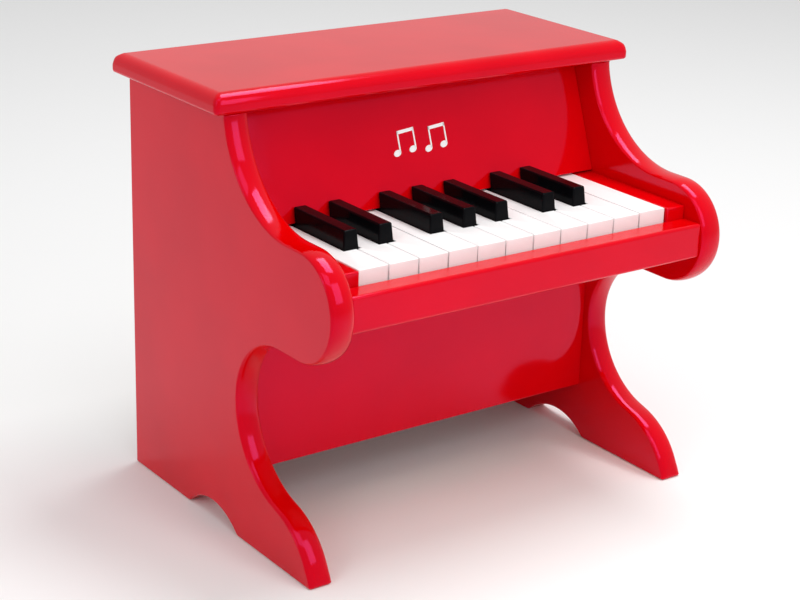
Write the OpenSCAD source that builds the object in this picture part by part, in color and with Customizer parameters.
// Toy upright piano: a lacquered board cabinet on two scrolled side panels,
// eighteen tilting keys, eighteen hammers and eighteen tuned metal bars.
// Millimetres, +Z up, +X to the player's right, +Y towards the back.
// The origin is on the floor, under the middle of the overall box.

/* [Cabinet] */
// Overall height, from the floor to the top of the lid
total_h = 265; // [262:0.5:268]
// Overall depth, from the front of the arms to the back edge of the lid
total_d = 226; // [225:0.5:228]
// Thickness of the side panels
side_t = 15; // [14:0.5:18]
// Thickness of the lid
lid_t = 12; // [10:0.5:13]
// Lid overhang past each side panel
lid_over = 9; // [5:0.5:12]
// Lid overhang past the back edge of the side panels
lid_back_over = 5.5; // [3:0.5:6]
// Radius along the top edges of the lid
lid_round = 7; // [3:0.5:8]
// Thickness of the fallboard and of the lower panel
panel_t = 9; // [7:0.5:10]

/* [Side panel outline] */
// Radius of the nose at the front of the arm
nose_r = 32.5; // [31:0.5:33]
// Height of the centre of the nose
nose_z = 163.5; // [163:0.5:165]
// Radius of the hollow sweep from the arm up to the lid
shoulder_r = 65; // [63:0.5:66]
// Radius of the hollow under the arm, below its deepest point
knee_r = 52; // [51:0.5:54]
// Radius of the round instep of the front foot
instep_r = 50; // [48:0.5:52]
// Length of the straight ankle between that hollow and the instep
ankle_len = 6; // [4:0.5:8]
// Height of the arch cut under each side panel
arch_rise = 11.5; // [8:0.5:13]
// Length of that arch along the floor
arch_len = 56; // [46:1:60]

/* [Keyboard] */
// Pitch of the white keys
white_pitch = 20.25; // [20.25:0.05:21]
// Gap between neighbouring white keys
white_gap = 0.8; // [0.6:0.1:1.2]
// Width of a black key at its foot
black_w = 10.6; // [9.6:0.1:10.8]
// Height of a black key above the white ones
black_h = 10.7; // [8:0.1:12]
// Height of the key sticks
key_t = 12; // [11:0.5:12]

/* [Action] */
// Width of the hidden rear lever of each key
lever_w = 8; // [7:0.5:8]
// Radius of the rod that the keys tilt on
key_rod_r = 2; // [1.5:0.1:2.5]
// Radius of the rod that the hammers swing on
hammer_rod_r = 1.5; // [1.2:0.1:1.8]
// Length of the longest tuned bar
bar_max = 80; // [76:1:81]
// Difference in length between neighbouring bars
bar_step = 1.6; // [1:0.1:1.8]
// Width of a tuned bar
bar_w = 9.6; // [8:0.2:10]
// Thickness of a tuned bar
bar_t = 3; // [2:0.5:4]

/* [Hidden] */
key_count = 18;
white_count = 11;
fit_gap = 0.05;
$fn = 96;

red = [0.80, 0.02, 0.04];
white = [0.96, 0.95, 0.94];
black = [0.04, 0.04, 0.045];
raw_wood = [0.82, 0.68, 0.48];
hardboard = [0.50, 0.36, 0.22];
felt = [0.20, 0.32, 0.22];
steel = [0.66, 0.67, 0.69];
bar_metal = [0.78, 0.79, 0.82];
cream = [0.90, 0.86, 0.76];

// Cabinet, across: the keyboard, a cheek block each side, then the side panels.
keyboard_w = white_count * white_pitch;
block_w = 14.3;
block_gap = 0.325;
inner_x = keyboard_w / 2 + block_gap + block_w;
outer_x = inner_x + side_t;
lid_x = outer_x + lid_over;

// Cabinet, front to back and up.
nose_y = -total_d / 2;
back_y = total_d / 2 - lid_back_over;
lid_z = total_h - lid_t;
lid_front_y = -9.5;
arm_y = nose_y + nose_r;
arm_top = nose_z + nose_r;
arm_bottom = nose_z - nose_r;
shoulder_y = arm_y + 12;
knee_y = -17;
knee_z = 87.5;
knee_top_r = arm_bottom - knee_z;
// The hollow under the arm ends in the straight ankle, which slopes this much.
ankle_slope = 15.6;
ankle_y = knee_y - knee_r * (1 - sin(ankle_slope));
ankle_z = knee_z - knee_r * cos(ankle_slope);
instep_y = ankle_y - ankle_len * cos(ankle_slope);
instep_z = ankle_z - ankle_len * sin(ankle_slope);
instep_cy = instep_y + instep_r * sin(ankle_slope);
instep_cz = instep_z - instep_r * cos(ankle_slope);
arch_y = 12;
arch_r = (pow(arch_len / 2, 2) + pow(arch_rise, 2)) / (2 * arch_rise);

// Back panel, let into a rebate in both side panels.
back_t = 4;
rebate_w = 7;
panel_bottom = 37;
lower_panel_y = -11;

// Keyboard heights.
key_top = 183;
key_bottom = key_top - key_t;
key_front_y = -92.5;
black_front_y = -61;
notch_y = black_front_y - 1;
black_gap = 0.6;
black_lean = 1.2;
black_taper = 1;
black_fall_gap = 0.9;
// Every key tail takes an equal share of an octave, the first one centred here.
tail_pitch = white_pitch * 7 / 12;
first_tail_x = -keyboard_w / 2 + 5.475;
tail_end_y = -3;
lever_shift = 0.7;
lever_end_y = 76;
pivot_y = 2.5;
pivot_z = 177;

// Keybed, key slip and the felts that end the travel of a key.
bed_z = 153.9;
bed_t = 7.5;
bed_top = bed_z + bed_t;
bed_end_y = 78;
slip_y = -109.3;
slip_t = 15;
slip_top = 175.3;
slip_round = 2;
block_end_y = 10;
felt_t = 1.5;
felt_w = 9;
rest_felt_x = 118;
rest_rail_y = 58;
rest_rail_d = 18;
rest_rail_h = 7.9;
rest_felt_y = 66;
front_felt_y = -90;
guide_pin_r = 1.5;
guide_pin_y = 62;
guide_pin_h = 20;
guide_pin_lift = 1.6;

// Fallboard: its face leans back from the keys up to the lid.
fall_bottom = key_top + 1.2;
fall_foot_y = -10.5;
fall_lean = 26 / 70;
fall_run = panel_t * sqrt(1 + fall_lean * fall_lean);
function fall_y(z) = fall_foot_y + (z - key_top) * fall_lean;

// Action brackets, hammers and tuned bars.
bracket_t = 12;
bracket_y = 18;
bracket_d = 83;
bracket_z = 186;
rail_z = 214;
rail_s = 8;
rail_len = 2 * (inner_x - 4);
rail_felt_t = 1;
rail_felt_w = 6;
rail_felt_over = 12;
rod_end_gap = 0.5;
hammer_y = 92;
hammer_z = 196;
hammer_w = 7;
hub_r = 5;
head_y = 62;
head_z = 208.8;
head_r = 4;
heel_y = 76;
heel_z = 186.1;
heel_r = 2.5;
arm_t = 5;
rear_node_y = 82;
// A free bar is held at its two still points, this share in from each end.
still = 0.224;
bar_z = rail_z + rail_s + rail_felt_t;
bar_hole_r = 1.6;
pin_r = 1.2;
pin_head_r = 2.4;
pin_head_t = 1.2;
pin_head_gap = 0.5;
pin_lift = 1;

// Screws and dowels, one size of each.
screw_r = 1.5;
screw_len = 16;
screw_head_r = 3;
back_screws_z = [60, 150, 240];
bracket_screws_y = [30, 66];
bracket_screw_z = 193;
rail_screw_in = 8;
dowel_r = 3;
dowel_len = 20;
lid_dowels_y = [15, 85];
lid_dowel_drop = 1;
panel_dowels_z = [70, 130];
fall_dowel_z = 220;

function is_black(i) = search(i % 12, [1, 3, 6, 8, 10]) != [];
function white_before(i) = i <= 0 ? 0 : white_before(i - 1) + (is_black(i - 1) ? 0 : 1);
function head_left(i) = -keyboard_w / 2 + white_before(i) * white_pitch + white_gap / 2;
function head_right(i) = head_left(i) + white_pitch - white_gap;
function tail_x(i) = first_tail_x + i * tail_pitch;
function lever_x(i) = tail_x(i) + lever_shift;
function tail_left(i) =
    is_black(i) ? tail_x(i) - black_w / 2
    : i > 0 && is_black(i - 1) ? tail_x(i - 1) + black_w / 2 + black_gap
    : head_left(i);
function tail_right(i) =
    is_black(i) ? tail_x(i) + black_w / 2
    : i < key_count - 1 && is_black(i + 1) ? tail_x(i + 1) - black_w / 2 - black_gap
    : head_right(i);
function bar_len(i) = bar_max - bar_step * i;
function front_node_y(i) = rear_node_y - (1 - 2 * still) * bar_len(i);
function two_digits(n) = n < 10 ? str("0", n) : str(n);

middle = (key_count - 1) / 2;
front_rail_slope = (front_node_y(1) - front_node_y(0)) / tail_pitch;
rail_felt_len = 2 * (lever_x(key_count - 1) + rail_felt_over);
function front_rail_y(x) = front_node_y(middle) + (x - lever_x(middle)) * front_rail_slope;

cabinet_nodes = [
    "side_panel_left", "side_panel_right", "lid", "fallboard", "lower_panel", "back_panel",
    "keybed", "key_slip", "key_block_left", "key_block_right", "key_rod", "key_felts",
    "rest_rail", "guide_pins", "action_bracket_left", "action_bracket_right", "hammer_rod",
    "tone_rail_front", "tone_rail_rear", "tone_rail_felts", "tone_bars", "tone_bar_pins",
    "screws", "dowels"
];
key_nodes = [for (i = [1:key_count]) str("key_", two_digits(i))];
hammer_nodes = [for (i = [1:key_count]) str("hammer_", two_digits(i))];

// Extrudes a drawing of the Y-Z plane from x0 to x1.
module across(x0, x1) {
    translate([x0, 0, 0])
        rotate([90, 0, 90])
            linear_extrude(height = x1 - x0)
                children();
}

// Extrudes a drawing of the X-Z plane from y0 to y1.
module front_to_back(y0, y1) {
    translate([0, y1, 0])
        rotate([90, 0, 0])
            linear_extrude(height = y1 - y0)
                children();
}

// A box between two opposite corners.
module block(low, high) {
    translate(low)
        cube(high - low);
}

// One countersunk screw, its head flush with z = 0 and its point down.
module screw(extra = 0) {
    translate([0, 0, -screw_len - extra])
        cylinder(h = screw_len + extra, r = screw_r + extra);
    translate([0, 0, -screw_head_r + screw_r])
        cylinder(h = screw_head_r - screw_r, r1 = screw_r + extra, r2 = screw_head_r + extra);
}

// Every screw: six in the back panel, two in each bracket, one in each rail end.
module at_screws() {
    for (side = [-1, 1]) {
        rail_screw_x = side * (inner_x - rail_screw_in);
        for (z = back_screws_z)
            translate([side * (inner_x + rebate_w / 2), back_y, z])
                rotate([-90, 0, 0])
                    children();
        for (y = bracket_screws_y)
            translate([side * (inner_x - bracket_t), y, bracket_screw_z])
                rotate([0, -side * 90, 0])
                    children();
        translate([rail_screw_x, front_rail_y(rail_screw_x), rail_z + rail_s])
            children();
        translate([rail_screw_x, rear_node_y, rail_z + rail_s])
            children();
    }
}

// One dowel or its hole, centred on the joint between two boards.
module dowel(extra = 0) {
    translate([0, 0, -dowel_len / 2 - 2 * extra])
        cylinder(h = dowel_len + 4 * extra, r = dowel_r + extra);
}

// Every dowel: four under the lid, eight through the ends of the cross boards.
module at_dowels() {
    for (side = [-1, 1]) {
        for (y = lid_dowels_y)
            translate([side * (inner_x + side_t / 2), y, lid_z - lid_dowel_drop])
                children();
        for (yz = [
            for (z = panel_dowels_z) [lower_panel_y + panel_t / 2, z],
            [slip_y + slip_t / 2, (bed_z + slip_top) / 2],
            [fall_y(fall_dowel_z) + fall_run / 2, fall_dowel_z]
        ])
            translate([side * inner_x, yz[0], yz[1]])
                rotate([0, 90, 0])
                    children();
    }
}

// The scrolled outline of a side panel: straight back, hollow sweep down to a
// round-nosed arm, hollow under the arm, and a foot with a shallow arch.
module side_outline() {
    difference() {
        union() {
            translate([shoulder_y, arm_bottom])
                square([back_y - shoulder_y, lid_z - arm_bottom]);
            translate([arm_y, arm_bottom])
                square([shoulder_y - arm_y, 2 * nose_r]);
            translate([arm_y, nose_z])
                circle(r = nose_r);
            difference() {
                translate([knee_y - knee_top_r, knee_z])
                    square([back_y - knee_y + knee_top_r, knee_top_r]);
                translate([knee_y - knee_top_r, knee_z])
                    circle(r = knee_top_r);
            }
            difference() {
                translate([ankle_y, 0])
                    square([back_y - ankle_y, knee_z]);
                translate([knee_y - knee_r, knee_z])
                    circle(r = knee_r);
            }
            polygon([[instep_y, 0], [ankle_y, 0], [ankle_y, ankle_z], [instep_y, instep_z]]);
            intersection() {
                translate([instep_cy, instep_cz])
                    circle(r = instep_r);
                translate([nose_y, 0])
                    square([instep_y - nose_y, instep_r]);
            }
        }
        translate([shoulder_y, arm_top + shoulder_r])
            circle(r = shoulder_r);
        translate([arch_y, arch_rise - arch_r])
            circle(r = arch_r);
    }
}

module side_panel(side) {
    color(red)
        difference() {
            across(side > 0 ? inner_x : -outer_x, side > 0 ? outer_x : -inner_x)
                side_outline();
            block(
                [side > 0 ? inner_x - 1 : -inner_x - rebate_w, back_y - back_t, panel_bottom],
                [side > 0 ? inner_x + rebate_w : -inner_x + 1, back_y + 1, lid_z + 1]
            );
            at_screws() screw(fit_gap);
            at_dowels() dowel(fit_gap);
        }
}

// A board's end whose two upper corners are rounded, drawn from its lower left.
module rounded_top(w, h, r) {
    intersection() {
        square([w, h]);
        union() {
            square([w, h - r]);
            translate([r, 0])
                square([w - 2 * r, h]);
            for (x = [r, w - r])
                translate([x, h - r])
                    circle(r = r);
        }
    }
}

module lid() {
    color(red)
        difference() {
            intersection() {
                across(-lid_x, lid_x)
                    translate([lid_front_y, lid_z])
                        rounded_top(total_d / 2 - lid_front_y, lid_t, lid_round);
                front_to_back(lid_front_y, total_d / 2)
                    translate([-lid_x, lid_z])
                        rounded_top(2 * lid_x, lid_t, lid_round);
            }
            at_dowels() dowel(fit_gap);
        }
}

module fallboard() {
    color(red)
        difference() {
            across(-inner_x, inner_x)
                polygon([
                    [fall_y(fall_bottom), fall_bottom],
                    [fall_y(fall_bottom) + fall_run, fall_bottom],
                    [fall_y(lid_z) + fall_run, lid_z],
                    [fall_y(lid_z), lid_z]
                ]);
            at_dowels() dowel(fit_gap);
        }
}

module lower_panel() {
    color(red)
        difference() {
            block(
                [-inner_x, lower_panel_y, panel_bottom],
                [inner_x, lower_panel_y + panel_t, bed_z]
            );
            at_dowels() dowel(fit_gap);
        }
}

module back_panel() {
    color(hardboard)
        difference() {
            block(
                [-inner_x - rebate_w, back_y - back_t, panel_bottom],
                [inner_x + rebate_w, back_y, lid_z]
            );
            at_screws() screw(fit_gap);
        }
}

module keybed() {
    color(raw_wood)
        block([-inner_x, slip_y + slip_t, bed_z], [inner_x, bed_end_y, bed_top]);
}

module key_slip() {
    color(red)
        difference() {
            across(-inner_x, inner_x)
                translate([slip_y, bed_z])
                    rounded_top(slip_t, slip_top - bed_z, slip_round);
            at_dowels() dowel(fit_gap);
        }
}

module key_block(side) {
    color(red)
        difference() {
            block(
                [side > 0 ? inner_x - block_w : -inner_x, slip_y + slip_t, bed_top],
                [side > 0 ? inner_x : -inner_x + block_w, block_end_y, key_top]
            );
            translate([0, pivot_y, pivot_z])
                rotate([0, 90, 0])
                    cylinder(h = 3 * inner_x, r = key_rod_r + fit_gap, center = true);
        }
}

// A straight rod across the inside of the cabinet.
module rod(y, z, r) {
    color(steel)
        translate([0, y, z])
            rotate([0, 90, 0])
                cylinder(h = 2 * (inner_x - rod_end_gap), r = r, center = true);
}

// Two felt strips: the keys dip onto the front one and rest on the rear one.
module key_felts() {
    color(felt) {
        translate([-keyboard_w / 2, front_felt_y, bed_top])
            cube([keyboard_w, felt_w, felt_t]);
        translate([-rest_felt_x, rest_felt_y, bed_top + rest_rail_h])
            cube([2 * rest_felt_x, felt_w, felt_t]);
    }
}

// A row of upright pins, one in every gap between levers and one past each end.
module guide_pin_row(extra = 0) {
    for (i = [0:key_count])
        translate([lever_x(i) - tail_pitch / 2, guide_pin_y, bed_top + guide_pin_lift - extra])
            cylinder(h = guide_pin_h + extra, r = guide_pin_r + extra);
}

module rest_rail() {
    color(raw_wood)
        difference() {
            translate([-inner_x, rest_rail_y, bed_top])
                cube([2 * inner_x, rest_rail_d, rest_rail_h]);
            guide_pin_row(fit_gap);
        }
}

module guide_pins() {
    color(steel)
        guide_pin_row();
}

module action_bracket(side) {
    color(raw_wood)
        difference() {
            block(
                [side > 0 ? inner_x - bracket_t : -inner_x, bracket_y, bracket_z],
                [side > 0 ? inner_x : -inner_x + bracket_t, bracket_y + bracket_d, rail_z]
            );
            translate([0, hammer_y, hammer_z])
                rotate([0, 90, 0])
                    cylinder(h = 3 * inner_x, r = hammer_rod_r + fit_gap, center = true);
            at_screws() screw(fit_gap);
        }
}

// A strip under the bars, centred on the line of their front or rear pins.
module front_strip(z, w, h, len) {
    translate([0, front_rail_y(0), z])
        rotate([0, 0, atan(front_rail_slope)])
            translate([-len / 2, -w / 2, 0])
                cube([len, w, h]);
}

module rear_strip(z, w, h, len) {
    translate([-len / 2, rear_node_y - w / 2, z])
        cube([len, w, h]);
}

// Holes for the bar pins, through the rails and their felts.
module pin_holes(extra) {
    for (i = [0:key_count - 1])
        for (y = [front_node_y(i), rear_node_y])
            translate([lever_x(i), y, rail_z + pin_lift - extra])
                cylinder(h = bar_z - rail_z, r = pin_r + extra);
}

module tone_rail_front() {
    color(raw_wood)
        difference() {
            front_strip(rail_z, rail_s, rail_s, rail_len);
            pin_holes(fit_gap);
            at_screws() screw(fit_gap);
        }
}

module tone_rail_rear() {
    color(raw_wood)
        difference() {
            rear_strip(rail_z, rail_s, rail_s, rail_len);
            pin_holes(fit_gap);
            at_screws() screw(fit_gap);
        }
}

module tone_rail_felts() {
    color(felt)
        difference() {
            union() {
                front_strip(rail_z + rail_s, rail_felt_w, rail_felt_t, rail_felt_len);
                rear_strip(rail_z + rail_s, rail_felt_w, rail_felt_t, rail_felt_len);
            }
            pin_holes(fit_gap);
        }
}

module tone_bars() {
    color(bar_metal)
        for (i = [0:key_count - 1])
            difference() {
                translate([lever_x(i) - bar_w / 2, rear_node_y - (1 - still) * bar_len(i), bar_z])
                    cube([bar_w, bar_len(i), bar_t]);
                for (y = [front_node_y(i), rear_node_y])
                    translate([lever_x(i), y, bar_z - 1])
                        cylinder(h = bar_t + 2, r = bar_hole_r);
            }
}

module tone_bar_pins() {
    head_bottom = bar_z + bar_t + pin_head_gap;
    color(steel)
        for (i = [0:key_count - 1])
            for (y = [front_node_y(i), rear_node_y])
                translate([lever_x(i), y, 0]) {
                    translate([0, 0, rail_z + pin_lift])
                        cylinder(h = head_bottom + pin_head_t / 2 - rail_z - pin_lift, r = pin_r);
                    translate([0, 0, head_bottom])
                        cylinder(h = pin_head_t, r = pin_head_r);
                }
}

module screws() {
    color(steel)
        at_screws() screw();
}

module dowels() {
    color(raw_wood)
        at_dowels() dowel();
}

// The raised part of a black key, narrower at the top, its rear end cut to
// lean back with the fallboard.
module black_cap(i) {
    top = key_top + black_h;
    intersection() {
        across(tail_left(i), tail_right(i))
            polygon([
                [black_front_y, key_top],
                [black_front_y + black_lean, top],
                [fall_y(top) - black_fall_gap, top],
                [fall_y(key_top) - black_fall_gap, key_top]
            ]);
        front_to_back(black_front_y - 1, tail_end_y)
            polygon([
                [tail_left(i), key_top],
                [tail_left(i) + black_taper, top],
                [tail_right(i) - black_taper, top],
                [tail_right(i), key_top]
            ]);
    }
}

module key(i) {
    color(is_black(i) ? black : white)
        difference() {
            union() {
                if (is_black(i)) {
                    black_cap(i);
                    block(
                        [tail_left(i), black_front_y, key_bottom],
                        [tail_right(i), tail_end_y, key_top]
                    );
                } else {
                    block([head_left(i), key_front_y, key_bottom], [head_right(i), notch_y, key_top]);
                    block([tail_left(i), notch_y, key_bottom], [tail_right(i), tail_end_y, key_top]);
                }
                block(
                    [lever_x(i) - lever_w / 2, tail_end_y, key_bottom],
                    [lever_x(i) + lever_w / 2, lever_end_y, key_top]
                );
            }
            translate([lever_x(i), pivot_y, pivot_z])
                rotate([0, 90, 0])
                    cylinder(h = 3 * lever_w, r = key_rod_r + fit_gap, center = true);
        }
}

// A hammer: hub on its rod, arm forward over the lever, round heel that the
// lever lifts, and a stalk up to the round head that strikes the bar.
module hammer_outline() {
    difference() {
        union() {
            translate([hammer_y, hammer_z])
                circle(r = hub_r);
            translate([head_y - arm_t / 2, hammer_z - arm_t / 2])
                square([hammer_y - head_y + arm_t / 2, arm_t]);
            translate([heel_y - heel_r, heel_z])
                square([2 * heel_r, hammer_z - heel_z]);
            translate([heel_y, heel_z])
                circle(r = heel_r);
            translate([head_y - arm_t / 2, hammer_z - arm_t / 2])
                square([arm_t, head_z - hammer_z]);
            translate([head_y, head_z])
                circle(r = head_r);
        }
        translate([hammer_y, hammer_z])
            circle(r = hammer_rod_r + fit_gap);
    }
}

module hammer(i) {
    color(cream)
        across(lever_x(i) - hammer_w / 2, lever_x(i) + hammer_w / 2)
            hammer_outline();
}

side_panel(-1);  // side_panel_left
side_panel(1);  // side_panel_right
lid();
fallboard();
lower_panel();
back_panel();
keybed();
key_slip();
key_block(-1);  // key_block_left
key_block(1);  // key_block_right
rod(pivot_y, pivot_z, key_rod_r);  // key_rod
key_felts();
rest_rail();
guide_pins();
action_bracket(-1);  // action_bracket_left
action_bracket(1);  // action_bracket_right
rod(hammer_y, hammer_z, hammer_rod_r);  // hammer_rod
tone_rail_front();
tone_rail_rear();
tone_rail_felts();
tone_bars();
tone_bar_pins();
screws();
dowels();
for (i = [0:key_count - 1]) {
    key(i);
    hammer(i);
}
